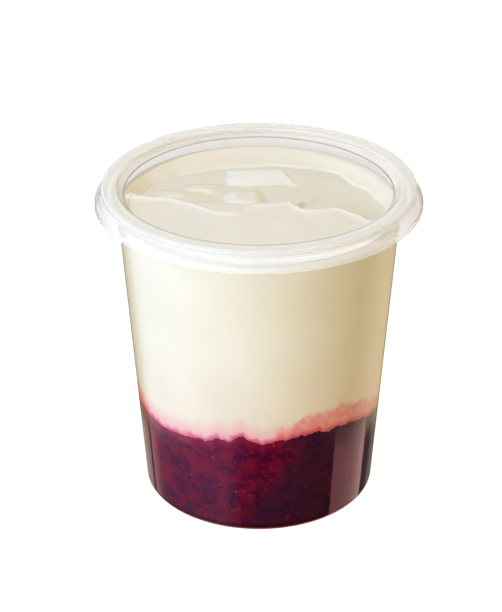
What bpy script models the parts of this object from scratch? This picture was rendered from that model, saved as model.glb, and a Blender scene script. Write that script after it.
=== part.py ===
"""A clear dessert pot, shut with its press-on lid, that holds custard over a berry compote.

Units are metres and +Z is up. The origin is the middle of the base, on the surface that the pot
stands on. The cup and the lid are formed sheet, so each is drawn as one middle line with a
thickness, and turned round the pot's axis. The two fillings are turned too, and then their free
faces are pushed into relief: the custard lies in spooned dollops, and the line where it meets
the compote rises and falls round the wall.
"""

import math

import bmesh
import bpy

MM = 0.001

# Driving dimensions
LID_WIDTH = 101.0 * MM  # across the lip of the lid's skirt
LID_TOP = 103.6 * MM  # height of the shut pot
FOOT_WIDTH = 73.7 * MM  # across the wall just above the floor
WALL_TAPER = 0.071  # how far the wall leans out for each unit of height
SHEET = 0.6 * MM  # thickness of the cup and of the lid
GAP = 0.3 * MM  # clearance between neighbouring pieces

# The cup
CORNER_RADIUS = 1.1 * MM  # of the middle line, where the wall meets the foot
PANEL_RAISED = 1.6 * MM  # the floor panel's height above the standing ring
STANDING_RING = 3.0 * MM  # width of the flat ring that the pot stands on
RAMP_RUN = 1.4 * MM  # the slope between the ring and the panel
SHOULDER_HEIGHT = 97.9 * MM  # where the wall steps out for the lid's plug
SHOULDER_RISE = 1.1 * MM
SHOULDER_RUN = 1.1 * MM
NECK_RADIUS = 1.4 * MM  # bend from the neck into the rim
RIM_RADIUS = 1.15 * MM  # bend of the rolled rim
RIM_DROP = 0.5 * MM  # straight end of the rolled rim
RIM_TOP = LID_TOP - SHEET - GAP  # top of the cup's own rim

# The lid
PANEL_SUNK = 2.5 * MM  # the lid's panel below the top of its ring
PANEL_WIDTH = 83.6 * MM
PLUG_RUN = 1.7 * MM  # how far the plug wall leans out as it rises
RING_BEND = 0.75 * MM  # bends of the ring that covers the cup's rim
RING_WIDTH = 97.1 * MM  # across the outside of the ring
RING_DROP = 1.5 * MM  # height of the ring's outer side
GROOVE_DEPTH = 0.35 * MM  # the line pressed in under the ring
SKIRT_FLARE = 1.0 * MM  # how far the skirt leans out below the ring
LIP_HEIGHT = 1.4 * MM  # the upright lip at the skirt's foot
LID_FOOT = 97.5 * MM  # height of the lip's lower edge

# The fillings
LAYER_LEVEL = 31.9 * MM  # lowest height of the line between compote and custard, at the wall
FILL_LEVEL = 97.0 * MM  # where the custard touches the wall
BORDER_WIDTH = 9.0 * MM  # the band along the wall that slopes into the basin
BASIN_DEPTH = 4.6 * MM
BASIN_RIPPLE = 0.35 * MM
DOLLOP_EDGE = 0.22  # the share of a dollop's radius over which its edge falls away

# Swells of the layer line: place round the wall in degrees from the front, width, height in mm
SWELLS = [
    (20, 42, 3.2),
    (-7.0, 3.4, 2.2),
    (-17, 7, 0.7),
    (47, 10, 0.7),
    (112, 30, 2.0),
    (168, 22, 2.9),
    (-100, 26, 2.3),
    (-142, 16, 1.1),
]
# Dollops of custard: middle x and y, radius across, radius deep, height, all in mm
DOLLOPS = [
    (-31, -12, 21, 22, 2.7),
    (16, -15, 27, 23, 2.3),
    (28, -16, 15, 20, 2.8),
    (-4, 9, 6, 7, 0.9),
    (-18, 17, 9, 5, 0.7),
    (36, 15, 9, 14, 2.0),
]

# How finely the shapes are drawn
SEGMENTS = 64
BEND_STEPS = 3
TOP_RINGS = [0.99, 0.93, 0.86, 0.78, 0.68, 0.57, 0.45, 0.32, 0.18]
LAYER_RINGS = [0.86, 0.62, 0.34]


def arc(centre, radius, start, end, steps=BEND_STEPS):
    """Points of an arc in the (radius, height) plane, from start to end in degrees."""
    points = []
    for i in range(steps + 1):
        angle = math.radians(start + (end - start) * i / steps)
        points.append((centre[0] + radius * math.cos(angle), centre[1] + radius * math.sin(angle)))
    return points


def side_of(path, offset):
    """The path moved sideways by offset, mitred at its corners. Positive is to its left."""
    moved = []
    for i, (r, z) in enumerate(path):
        before = path[max(i - 1, 0)]
        after = path[min(i + 1, len(path) - 1)]
        normals = []
        for (r0, z0), (r1, z1) in ((before, (r, z)), ((r, z), after)):
            length = math.hypot(r1 - r0, z1 - z0)
            if length > 0:
                normals.append(((z0 - z1) / length, (r1 - r0) / length))
        nr = sum(n[0] for n in normals) / len(normals)
        nz = sum(n[1] for n in normals) / len(normals)
        stretch = offset / (nr * nr + nz * nz)
        moved.append((r + nr * stretch, z + nz * stretch))
    return moved


def sheet_outline(path):
    """Both faces of a sheet along its middle line, which starts on the axis."""
    return side_of(path, -SHEET / 2) + side_of(path, SHEET / 2)[::-1]


def wall_middle(z):
    """Radius of the cup wall's middle line at a height."""
    return FOOT_WIDTH / 2 - SHEET / 2 + WALL_TAPER * z


def filling_radius(z):
    """Radius of a filling at a height, clear of the wall."""
    return wall_middle(z) - SHEET / 2 - GAP


def floor_corner():
    """Radius of the wall's middle line where it bends into the floor."""
    return wall_middle(SHEET / 2 + CORNER_RADIUS)


def cup_path():
    foot = SHEET / 2
    panel = foot + PANEL_RAISED
    corner = floor_corner() - CORNER_RADIUS
    ring_inside = corner - STANDING_RING
    path = [(0, panel), (ring_inside - RAMP_RUN, panel), (ring_inside, foot)]
    path += arc((corner, foot + CORNER_RADIUS), CORNER_RADIUS, -90, 0)
    path.append((wall_middle(SHOULDER_HEIGHT), SHOULDER_HEIGHT))
    neck = wall_middle(SHOULDER_HEIGHT) + SHOULDER_RUN
    path.append((neck, SHOULDER_HEIGHT + SHOULDER_RISE))
    rim = RIM_TOP - SHEET / 2
    top = (neck + NECK_RADIUS, rim)
    path += arc((top[0], rim - NECK_RADIUS), NECK_RADIUS, 180, 90)
    path += arc((top[0], rim - RIM_RADIUS), RIM_RADIUS, 90, 0, BEND_STEPS + 1)[1:]
    path.append((top[0] + RIM_RADIUS, rim - RIM_RADIUS - RIM_DROP))
    return path


def lid_path():
    panel = LID_TOP - PANEL_SUNK - SHEET / 2
    top = LID_TOP - SHEET / 2
    plug_foot = PANEL_WIDTH / 2
    outside = RING_WIDTH / 2 - SHEET / 2
    lip = LID_WIDTH / 2 - SHEET / 2
    path = [(0, panel), (plug_foot - 0.4 * MM, panel), (plug_foot + 0.1 * MM, panel + 0.3 * MM)]
    plug_top = plug_foot + PLUG_RUN
    path += arc((plug_top + RING_BEND, top - RING_BEND), RING_BEND, 150, 90)
    path += arc((outside - RING_BEND, top - RING_BEND), RING_BEND, 90, 0)
    groove = top - RING_DROP
    path.append((outside - GROOVE_DEPTH, groove))
    lip_top = LID_FOOT + LIP_HEIGHT
    path.append((outside + SKIRT_FLARE, lip_top + 0.35 * MM))
    path.append((lip, lip_top))
    path.append((lip, LID_FOOT))
    return path


def swell(angle):
    """Height of the layer line above its lowest level, at an angle from the front in degrees."""
    total = 0
    for place, width, height in SWELLS:
        away = (angle - place + 180) % 360 - 180
        total += height * MM * math.exp(-((away / width) ** 2))
    return total


def layer_height(x, y):
    """Height of the face between compote and custard."""
    out = min(math.hypot(x, y) / filling_radius(LAYER_LEVEL), 1)
    angle = math.degrees(math.atan2(x, -y))
    middle = 2.2 * MM * (1 - out)
    return LAYER_LEVEL + swell(angle) * out**2 + middle


def smooth_step(value):
    value = min(max(value, 0), 1)
    return value * value * (3 - 2 * value)


def custard_height(x, y):
    """Height of the custard's free surface: a border along the wall, a basin and its dollops."""
    inward = filling_radius(FILL_LEVEL) - math.hypot(x, y)
    height = FILL_LEVEL - BASIN_DEPTH * smooth_step(inward / BORDER_WIDTH)
    height += BASIN_RIPPLE * math.sin(x / (6.1 * MM)) * math.cos(y / (5.3 * MM)) * min(inward / BORDER_WIDTH, 1)
    rise = 0
    for mx, my, across, deep, tall in DOLLOPS:
        out = math.hypot((x / MM - mx) / across, (y / MM - my) / deep)
        rise = max(rise, tall * MM * smooth_step((1 - out) / DOLLOP_EDGE) * (1.12 - 0.12 * out))
    return min(height + rise * smooth_step(inward / (4 * MM)), FILL_LEVEL)


def material(name, colour, roughness, transmission=0.0):
    made = bpy.data.materials.new(name)
    made.use_nodes = True
    shader = made.node_tree.nodes["Principled BSDF"]
    shader.inputs["Base Color"].default_value = (*colour, 1)
    shader.inputs["Roughness"].default_value = roughness
    shader.inputs["Transmission Weight"].default_value = transmission
    return made


def turned(outline):
    """A closed body from an outline whose two ends lie on the axis."""
    body = bmesh.new()
    corners = [body.verts.new((r, 0, z)) for r, z in outline]
    edges = [body.edges.new(pair) for pair in zip(corners, corners[1:])]
    bmesh.ops.spin(
        body,
        geom=corners + edges,
        axis=(0, 0, 1),
        cent=(0, 0, 0),
        angle=math.tau,
        steps=SEGMENTS,
        use_duplicate=False,
    )
    bmesh.ops.remove_doubles(body, verts=body.verts, dist=0.001 * MM)
    bmesh.ops.recalc_face_normals(body, faces=body.faces)
    return body


def finish(name, body, skin):
    mesh = bpy.data.meshes.new(name)
    body.to_mesh(mesh)
    body.free()
    mesh.materials.append(skin)
    mesh.shade_smooth()
    mesh.set_sharp_from_angle(angle=math.radians(40))
    made = bpy.data.objects.new(name, mesh)
    bpy.context.scene.collection.objects.link(made)
    return made


def push_relief(body, level, height_at, clearance):
    """Moves the flat face at a level on to a relief, and its rim on to the wall."""
    rim = filling_radius(level) - 0.01 * MM
    for corner in [v for v in body.verts if abs(v.co.z - level) < 0.001 * MM]:
        x, y, _ = corner.co
        reach = math.hypot(x, y)
        corner.co.z = height_at(x, y) + clearance
        if reach > rim:
            corner.co.x *= filling_radius(corner.co.z) / reach
            corner.co.y *= filling_radius(corner.co.z) / reach


def rings_inward(level, shares):
    """Outline points across a flat face, from the wall to the axis."""
    reach = filling_radius(level)
    return [(reach, level)] + [(reach * share, level) for share in shares] + [(0, level)]


def clear_scene():
    for old in list(bpy.data.objects):
        bpy.data.objects.remove(old)


def make_cup():
    clear = material("clear_cup", (0.93, 0.94, 0.93), 0.06, transmission=1.0)
    return finish("cup", turned(sheet_outline(cup_path())), clear)


def make_lid():
    clear = material("clear_lid", (0.93, 0.94, 0.93), 0.1, transmission=1.0)
    return finish("lid", turned(sheet_outline(lid_path())), clear)


def make_berry_layer():
    """The compote: it lies on the cup's raised floor and fills the ring-shaped gutter round it."""
    floor = SHEET + GAP
    panel = floor + PANEL_RAISED
    corner = floor_corner() - CORNER_RADIUS
    ring_inside = corner - STANDING_RING
    inner_corner = CORNER_RADIUS - SHEET / 2 - GAP
    outline = [(0, panel), (ring_inside - RAMP_RUN + GAP, panel), (ring_inside + GAP, floor)]
    outline += arc((corner, floor + inner_corner), inner_corner, -90, 0)
    outline.append((filling_radius(0.5 * LAYER_LEVEL), 0.5 * LAYER_LEVEL))
    outline += rings_inward(LAYER_LEVEL, LAYER_RINGS)
    body = turned(outline)
    push_relief(body, LAYER_LEVEL, layer_height, -GAP / 2)
    return finish("berry_layer", body, material("berry_compote", (0.16, 0.012, 0.04), 0.35))


def make_custard():
    """The custard: its foot lies along the compote, and its top is open under the lid."""
    outline = rings_inward(LAYER_LEVEL, LAYER_RINGS)[::-1]
    for share in (0.25, 0.5, 0.75):
        level = LAYER_LEVEL + (FILL_LEVEL - LAYER_LEVEL) * share
        outline.append((filling_radius(level), level))
    outline += rings_inward(FILL_LEVEL, TOP_RINGS)
    body = turned(outline)
    push_relief(body, LAYER_LEVEL, layer_height, GAP / 2)
    push_relief(body, FILL_LEVEL, custard_height, 0)
    return finish("custard", body, material("custard_cream", (0.87, 0.78, 0.58), 0.3))


clear_scene()
make_cup()
make_lid()
make_berry_layer()
make_custard()
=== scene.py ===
# %% [markdown]
# # A clear pot of custard over berry compote
# This lesson dresses a plain model of a shut dessert pot. The model comes as four solids: a thin
# cup, its lid, and the two fillings. Each one is modelled again here with the fine shape and the
# finish that the real thing has, in the same place and at the same size.

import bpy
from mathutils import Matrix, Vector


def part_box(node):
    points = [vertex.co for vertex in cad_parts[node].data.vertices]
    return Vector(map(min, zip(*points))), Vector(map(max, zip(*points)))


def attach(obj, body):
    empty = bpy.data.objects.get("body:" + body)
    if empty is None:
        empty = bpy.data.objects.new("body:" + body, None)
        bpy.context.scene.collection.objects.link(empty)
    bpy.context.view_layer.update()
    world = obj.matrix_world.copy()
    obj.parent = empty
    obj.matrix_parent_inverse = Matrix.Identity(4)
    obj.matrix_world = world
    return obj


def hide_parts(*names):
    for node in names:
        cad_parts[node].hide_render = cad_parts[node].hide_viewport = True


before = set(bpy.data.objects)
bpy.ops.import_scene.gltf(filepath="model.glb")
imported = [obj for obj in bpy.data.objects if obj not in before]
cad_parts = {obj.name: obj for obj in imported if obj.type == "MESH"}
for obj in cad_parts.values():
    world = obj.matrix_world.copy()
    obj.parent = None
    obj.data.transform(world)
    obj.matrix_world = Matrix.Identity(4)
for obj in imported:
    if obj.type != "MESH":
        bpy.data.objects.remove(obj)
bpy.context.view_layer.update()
print("solids:", sorted(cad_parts))

# %% Libraries
import math
import random

import bpy
from mathutils import Vector, noise

# %% [markdown]
# ## Sizes
# A pot is drawn from a few sizes: how wide its foot is, how far its wall leans out, how thick the
# sheet is, and how high it is filled. The outer sizes are read from the solids, so the pieces fit
# them. The lesson works in metres, as Blender does, and `MM` turns millimetres into metres.

# %% Sizes of the pot
MM = 0.001
SHEET = 0.6 * MM  # thickness of the formed plastic
WALL_TAPER = 0.071  # how far the wall leans out for each unit of height
FOOT_RADIUS = 36.85 * MM  # of the wall's outside, carried down to the table
LID_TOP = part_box("lid")[1].z
LID_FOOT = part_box("lid")[0].z
LID_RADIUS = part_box("lid")[1].x
RIM_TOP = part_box("cup")[1].z
FILL_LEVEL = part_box("custard")[1].z
LAYER_LEVEL = 31.0 * MM  # lowest height of the line between the fillings, at the wall
SIDES = 288  # flat sides of every round piece
print(f"pot {LID_TOP / MM:.1f} mm tall and {2 * LID_RADIUS / MM:.1f} mm wide")
print(f"filled to {FILL_LEVEL / MM:.1f} mm")


# %% [markdown]
# ## Turned pieces
# The cup, the lid and both fillings are round, so each can be made like a bowl on a lathe: a
# profile is drawn as a chain of vertices, and `spin` carries it round the axis. The other way, a
# cylinder with loop cuts, would need every bend to be shaped by hand. A single vertex to start
# from is had by adding a plane and merging its four corners.

# %% The lathe
MERGE_DISTANCE = 0.002 * MM


def clear_selection():
    if bpy.context.object and bpy.context.object.mode != "OBJECT":
        bpy.ops.object.mode_set(mode="OBJECT")
    bpy.ops.object.select_all(action="DESELECT")


def choose(piece):
    """Selects one piece alone and makes it active, as operators act on what is selected."""
    clear_selection()
    piece.select_set(True)
    bpy.context.view_layer.objects.active = piece


def add_object(name, data):
    made = bpy.data.objects.new(name, data)
    bpy.context.scene.collection.objects.link(made)
    return made


def lathe(name, profile, sides=SIDES):
    """Draws a profile of (radius, height) points and turns it into a round piece."""
    clear_selection()
    r, z = profile[0]
    bpy.ops.mesh.primitive_plane_add(size=MM, location=(r, 0, z))
    piece = bpy.context.object
    piece.name = name
    piece.data.name = name
    bpy.ops.object.transform_apply(location=True, rotation=False, scale=False)
    bpy.ops.object.mode_set(mode="EDIT")
    bpy.ops.mesh.select_mode(type="VERT")
    bpy.ops.mesh.select_all(action="SELECT")
    bpy.ops.mesh.merge(type="CENTER")
    for (r0, z0), (r1, z1) in zip(profile, profile[1:]):
        bpy.ops.mesh.extrude_vertices_move(TRANSFORM_OT_translate={"value": (r1 - r0, 0, z1 - z0)})
    bpy.ops.mesh.select_all(action="SELECT")
    bpy.ops.mesh.spin(steps=sides, angle=math.tau, center=(0, 0, 0), axis=(0, 0, 1))
    bpy.ops.mesh.select_all(action="SELECT")
    bpy.ops.mesh.remove_doubles(threshold=MERGE_DISTANCE)
    bpy.ops.mesh.normals_make_consistent(inside=False)
    bpy.ops.object.mode_set(mode="OBJECT")
    return piece


def arc(centre, radius, start, end, steps=8):
    """Points of an arc in the (radius, height) plane, from start to end in degrees."""
    points = []
    for i in range(steps + 1):
        angle = math.radians(start + (end - start) * i / steps)
        points.append((centre[0] + radius * math.cos(angle), centre[1] + radius * math.sin(angle)))
    return points


def split(profile, step):
    """The profile with its long stretches cut into steps of about this length."""
    points = [profile[0]]
    for (r0, z0), (r1, z1) in zip(profile, profile[1:]):
        count = max(1, round(math.hypot(r1 - r0, z1 - z0) / step))
        for i in range(1, count + 1):
            points.append((r0 + (r1 - r0) * i / count, z0 + (z1 - z0) * i / count))
    return points


def apply_modifiers(piece):
    choose(piece)
    for modifier in list(piece.modifiers):
        bpy.ops.object.modifier_apply(modifier=modifier.name)


def give_thickness(piece, thickness):
    wall = piece.modifiers.new("wall", "SOLIDIFY")
    wall.thickness = thickness
    wall.offset = 0
    wall.use_even_offset = True
    apply_modifiers(piece)


def smooth(piece, angle=50):
    """Shades smooth, apart from edges that turn by more than this angle in degrees."""
    choose(piece)
    bpy.ops.object.shade_smooth_by_angle(angle=math.radians(angle))


# %% [markdown]
# ## Shader helpers
# A material is a small network of nodes. A few helpers keep each network short: `fill` sets or
# links a node's inputs, `add` makes a node, `sum_up` is a line of arithmetic, `ramp` eases from one
# value to another, and `blend` mixes two colours. The others are named after what they read.

# %% Node helpers
def fill(tree, node, inputs):
    """Fills a node's inputs. Each value is a plain one, or a socket to link."""
    for name, value in inputs.items():
        if isinstance(value, bpy.types.NodeSocket):
            tree.links.new(value, node.inputs[name])
        else:
            node.inputs[name].default_value = value


def add(tree, kind, inputs=None, **settings):
    """Adds a node, such as "Math" for a ShaderNodeMath, with its settings and inputs."""
    made = tree.nodes.new("ShaderNode" + kind)
    for name, value in settings.items():
        setattr(made, name, value)
    fill(tree, made, inputs or {})
    return made


def sum_up(tree, operation, *values):
    """A Math node's result from sockets or numbers."""
    return add(tree, "Math", dict(enumerate(values)), operation=operation).outputs[0]


def times(tree, first, second):
    return sum_up(tree, "MULTIPLY", first, second)


def ramp(tree, factor, low, high, to_low=0.0, to_high=1.0, kind="SMOOTHSTEP"):
    """Eases from to_low to to_high as the factor goes from low to high."""
    values = {"Value": factor, "From Min": low, "From Max": high, "To Min": to_low, "To Max": to_high}
    return add(tree, "MapRange", values, interpolation_type=kind).outputs["Result"]


def blend(tree, factor, first, second, mode="MIX"):
    """Mixes two colours, each a socket or a tuple."""
    first, second = ((*value, 1) if isinstance(value, tuple) else value for value in (first, second))
    inputs = {0: factor, 6: first, 7: second}
    return add(tree, "Mix", inputs, data_type="RGBA", blend_type=mode).outputs[2]


def clouds(tree, place, scale, detail, distortion=0.0):
    """Noise between 0 and 1. A larger scale makes it finer."""
    inputs = {"Vector": place, "Scale": scale, "Detail": detail, "Distortion": distortion}
    return add(tree, "TexNoise", inputs).outputs["Fac"]


def shake(tree, value, unrest, amount):
    """Moves a value up and down with noise, so that an edge drawn from it comes out ragged."""
    return sum_up(tree, "MULTIPLY_ADD", sum_up(tree, "SUBTRACT", unrest, 0.5), amount, value)


def object_place(tree):
    """A point's place on its piece, in metres."""
    return add(tree, "TexCoord").outputs["Object"]


def parts(tree, vector):
    """The X, Y and Z of a place or a direction."""
    return add(tree, "SeparateXYZ", {"Vector": vector}).outputs


def turn_round(tree, where):
    """Angle round the pot in radians, 0 at the front and more to the right, from X and Y."""
    return sum_up(tree, "ARCTAN2", where["X"], times(tree, where["Y"], -1.0))


def stored(tree, name):
    """A number that the piece's vertices store under this name."""
    return add(tree, "Attribute", attribute_name=name).outputs["Fac"]


def new_material(name):
    material = bpy.data.materials.new(name)
    material.use_nodes = True
    tree = material.node_tree
    return material, tree, tree.nodes["Principled BSDF"]


# %% [markdown]
# ## The cup
# The real cup is blown or formed from one thin sheet of clear plastic. Its floor is raised inside a
# flat ring that it stands on, the wall leans out, and at the top a step and a rolled rim hold the
# lid. One line down the middle of the sheet says all of that, and Solidify gives it thickness.

# %% The cup's middle line
CORNER_RADIUS = 1.1 * MM  # bend from the standing ring into the wall
PANEL_RAISED = 1.6 * MM  # the floor's middle stands this much above the ring
STANDING_RING = 3.0 * MM  # the ring's width
RAMP_RUN = 1.4 * MM  # from the ring up to the raised floor
RAMP_BEND = 0.5 * MM
RAMP_EASE_RUN, RAMP_EASE_RISE = 0.2 * MM, 0.15 * MM
SHOULDER_HEIGHT = 97.9 * MM
SHOULDER = 1.1 * MM  # the step's run and rise
NECK_BEND = 1.4 * MM
RIM_BEND = 1.15 * MM
RIM_DROP = 0.5 * MM
CUP_STEP = 4 * MM  # longest straight stretch of the drawn line


def wall_middle(z):
    """Radius of the middle of the cup's wall at a height."""
    return FOOT_RADIUS - SHEET / 2 + WALL_TAPER * z


def cup_profile():
    foot = SHEET / 2
    panel = foot + PANEL_RAISED
    corner = wall_middle(foot + CORNER_RADIUS) - CORNER_RADIUS
    ring_inside = corner - STANDING_RING
    profile = [(0, panel), (ring_inside - RAMP_RUN - RAMP_BEND, panel)]
    profile.append((ring_inside - RAMP_RUN + RAMP_EASE_RUN, panel - RAMP_EASE_RISE))
    profile.append((ring_inside - RAMP_EASE_RUN, foot + RAMP_EASE_RISE))
    profile.append((ring_inside + RAMP_BEND, foot))
    profile += arc((corner, foot + CORNER_RADIUS), CORNER_RADIUS, -90, 0)
    profile.append((wall_middle(SHOULDER_HEIGHT), SHOULDER_HEIGHT))
    neck = wall_middle(SHOULDER_HEIGHT) + SHOULDER
    profile.append((neck, SHOULDER_HEIGHT + SHOULDER))
    rim = RIM_TOP - SHEET / 2
    profile += arc((neck + NECK_BEND, rim - NECK_BEND), NECK_BEND, 180, 90)
    profile += arc((neck + NECK_BEND, rim - RIM_BEND), RIM_BEND, 90, 0)[1:]
    profile.append((neck + NECK_BEND + RIM_BEND, rim - RIM_BEND - RIM_DROP))
    return profile


cup = lathe("cup_wall", split(cup_profile(), CUP_STEP))
give_thickness(cup, SHEET)
smooth(cup)
print("cup:", len(cup.data.polygons), "faces")


# %% [markdown]
# ## The lid
# The lid is formed from the same sheet. From the middle outwards it has a sunk flat panel, a plug
# wall that grips the inside of the rim, a rounded ring over the rim, a pressed-in line, and a skirt
# that flares to an upright lip. Again one line is turned and thickened.

# %% The lid's middle line
PANEL_SUNK = 2.5 * MM  # the panel lies this much below the lid's top
PANEL_RADIUS = 41.8 * MM
PANEL_BEND = 0.6 * MM  # bend from the panel into the plug wall
PANEL_BEND_INSET = 0.4 * MM
PLUG_RUN = 1.7 * MM  # how far the plug wall leans out
RING_BEND = 0.75 * MM
RING_RADIUS = 48.55 * MM
RING_DROP = 1.5 * MM  # from the lid's top to the pressed-in line
GROOVE_DEPTH = 0.35 * MM
GROOVE_ABOVE, GROOVE_BELOW = 0.25 * MM, 0.5 * MM  # how far the line's slopes reach
GROOVE_FLARE = 0.15 * MM
SKIRT_FLARE = 1.0 * MM
SKIRT_END = 0.35 * MM  # the flare ends this much above the lip
LIP_HEIGHT = 1.4 * MM
LIP_EASE_RUN, LIP_EASE_RISE, LIP_EASE_DROP = 0.15 * MM, 0.12 * MM, 0.1 * MM
LID_STEP = 2.5 * MM  # longest straight stretch of the drawn line


def lid_profile():
    panel = LID_TOP - PANEL_SUNK - SHEET / 2
    top = LID_TOP - SHEET / 2
    outside = RING_RADIUS - SHEET / 2
    lip = LID_RADIUS - SHEET / 2
    profile = [(0, panel)]
    profile += arc((PANEL_RADIUS - PANEL_BEND_INSET, panel + PANEL_BEND), PANEL_BEND, -90, -30, 4)
    profile += arc((PANEL_RADIUS + PLUG_RUN + RING_BEND, top - RING_BEND), RING_BEND, 155, 90, 6)
    profile += arc((outside - RING_BEND, top - RING_BEND), RING_BEND, 90, 0)
    groove = top - RING_DROP
    profile += [(outside, groove + GROOVE_ABOVE), (outside - GROOVE_DEPTH, groove)]
    lip_top = LID_FOOT + LIP_HEIGHT
    profile.append((outside + GROOVE_FLARE, groove - GROOVE_BELOW))
    profile.append((outside + SKIRT_FLARE, lip_top + SKIRT_END))
    profile.append((lip - LIP_EASE_RUN, lip_top + LIP_EASE_RISE))
    profile += [(lip, lip_top - LIP_EASE_DROP), (lip, LID_FOOT)]
    return profile


lid = lathe("lid_sheet", split(lid_profile(), LID_STEP))
give_thickness(lid, SHEET)
smooth(lid)
print("lid:", len(lid.data.polygons), "faces")

# %% [markdown]
# ## The layer line and the custard's surface
# The compote went in first and the custard was spooned over it, so the line where they meet rises
# and falls round the wall. The custard's top lies in spoonfuls: a border clings to the wall and
# slopes to a basin, and dollops with soft edges lie over it. Both are heights worked out from a
# few swells and dollops, each with its place and size.

# %% Places of the swells
# Swells of the layer line: place round the wall in degrees from the front, width, height in mm.
SWELLS = [
    (20, 42, 3.2), (-8.0, 4.0, 2.3), (-17, 7, 0.7), (47, 10, 0.7),
    (112, 30, 2.0), (168, 22, 2.9), (-100, 26, 2.3), (-142, 16, 1.1),
    (-20, 16, 0.7), (24, 16, 0.65), (3, 4, -0.5), (70, 14, -1.5),
    (80, 9, -1.8),
]
print("swells round the layer line:", len(SWELLS))

# %% Outlines on the custard's top
# Back edge of each spoonful at the front, as (x, y) points in mm from left to right.
LEFT_SPOONFUL = [
    (-44, 8.5), (-38.8, 7.8), (-35.6, 6.2), (-29.3, 5.6), (-21.7, 3.3), (-16.7, -0.3),
    (-12.9, -4.0), (-8.0, -5.4), (-4.3, -1.8), (0.0, 1.1), (5.0, 2.4), (9.0, 3.8),
    (12.0, 0.5), (17.0, -9.0), (22.0, -30.0), (27.0, -60.0),
]
RIGHT_SPOONFUL = [
    (0, -60), (6.5, -24), (10.0, -5.6), (13.5, -2.6), (17.9, -1.8),
    (23.5, -1.1), (29.5, -4.7), (34.1, -9.7), (38, -17),
]
# The border that clings to the wall: angle in degrees from the right, by way of the back, and
# width in mm.
BORDER = [
    (-60, 5), (-20, 3), (5, 4), (20, 5.8), (33, 7.6), (48, 5.4), (66, 7), (89, 9),
    (108, 9.3), (122, 8), (137, 4.8), (160, 4.0), (185, 3.4), (230, 4), (300, 5),
]
# A tongue of custard that points right from the middle: its back and front edges.
TONGUE_BACK = [(3, 3.0), (8, 5.6), (11, 6.3), (15, 6.5), (19.0, 5.6)]
TONGUE_FRONT = [(3, -6.0), (8, -2.0), (11.8, 1.4), (15.0, 4.0), (19.0, 5.6)]
# Small lumps: middle x and y, half width, half depth and height, all in mm.
LUMPS = [
    (-4.6, 8.4, 7.0, 7.6, 1.5),
    (-17.5, 17.5, 7.5, 3.8, 0.45),
    (-27.0, 13.0, 7.0, 3.8, 0.4),
]
print("outline points:", len(LEFT_SPOONFUL) + len(RIGHT_SPOONFUL) + len(BORDER), "and lumps:", len(LUMPS))

# %% Height of the layer line
INTO_WALL = 0.12 * MM  # the fillings reach this far into the plastic, so no air shows between
MIDDLE_RISE = 2.2 * MM  # the compote stands higher in the middle
RAGGED_WAVES = ((2.4 * MM, 1.0), (0.9 * MM, 0.7))  # each wave's length, and its height in mm
FRONT_STRETCH = (-75, 40)  # degrees in which the line is calm at first and then ragged
CALM_END, CALM_FADE = -34, 10  # degrees
CALM_SHARE, BACK_SHARE = 0.3, 0.6  # how much of the raggedness is left


def filling_radius(z):
    return wall_middle(z) - SHEET / 2 + INTO_WALL


def smooth_step(value):
    value = min(max(value, 0), 1)
    return value * value * (3 - 2 * value)


def noise_at(x, y, length, level=0):
    """Noise from -1 to 1 with waves of about this length. Each level has its own."""
    return noise.noise(Vector((x, y, level)) / length)


def swell(angle):
    """Height of the layer line above its lowest level, at an angle from the front in degrees."""
    total = 0
    for place, width, height in SWELLS:
        away = (angle - place + 180) % 360 - 180
        total += height * MM * math.exp(-((away / width) ** 2))
    return total


def layer_height(x, y):
    """Height of the face between compote and custard."""
    out = min(math.hypot(x, y) / filling_radius(LAYER_LEVEL), 1)
    angle = math.degrees(math.atan2(x, -y))
    share = BACK_SHARE
    if FRONT_STRETCH[0] < angle < FRONT_STRETCH[1]:
        share = CALM_SHARE + (1 - CALM_SHARE) * smooth_step((angle - CALM_END) / CALM_FADE)
    ragged = sum(noise_at(x, y, length) * height * MM for length, height in RAGGED_WAVES)
    return LAYER_LEVEL + (swell(angle) + ragged * share) * out**2 + MIDDLE_RISE * (1 - out)


line_radius = 38 * MM
angles = [a / 20 for a in range(126)]
line = [layer_height(math.sin(a) * line_radius, -math.cos(a) * line_radius) / MM for a in angles]
print(f"layer line from {min(line):.1f} to {max(line):.1f} mm")


# %% The border at the wall
NOISE_SEED = 879  # noise_vector would start from the clock without one, and each run would differ
BEND_LENGTH, BEND = 6 * MM, 1.5  # slow waves of drawn edges, and how far they push in mm
FINE_LENGTH, FINE_BEND, SOFT_BEND = 2.2 * MM, 0.45, 0.1  # fine waves on sharp and on soft forms
WANDER_LENGTH, WANDER, WANDER_LEVEL = 8 * MM, 1.2, 9 * MM  # unevenness of the border's width
noise.seed_set(NOISE_SEED)


def bend_place(x, y, fine=FINE_BEND):
    """Pushes a place aside by slow noise, so that drawn edges come out wavy like spooned custard."""
    spot = Vector((x, y, 0))
    push = noise.noise_vector(spot / BEND_LENGTH) * BEND * MM
    push += noise.noise_vector(spot / FINE_LENGTH) * fine * MM
    return x + push.x, y + push.y


def read_curve(points, where):
    """Height of a smooth curve through (place, value) points."""
    if where <= points[0][0]:
        return points[0][1]
    for (a0, v0), (a1, v1) in zip(points, points[1:]):
        if where <= a1:
            return v0 + (v1 - v0) * smooth_step((where - a0) / (a1 - a0))
    return points[-1][1]


def border_share(x, y):
    """0 in the basin and 1 at the wall: how far a point lies up the border's slope."""
    inward = filling_radius(FILL_LEVEL) - math.hypot(x, y)
    bent_x, bent_y = bend_place(x, y)
    angle = math.degrees(math.atan2(bent_y, bent_x))
    angle = angle + 360 if angle < BORDER[0][0] else angle
    width = (read_curve(BORDER, angle) + WANDER * noise_at(x, y, WANDER_LENGTH, WANDER_LEVEL)) * MM
    return max(0, 1 - inward / width)


back_spot = filling_radius(FILL_LEVEL) - 4 * MM
print("border's slope 4 mm from the back wall:", round(border_share(0, back_spot), 2))


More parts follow.
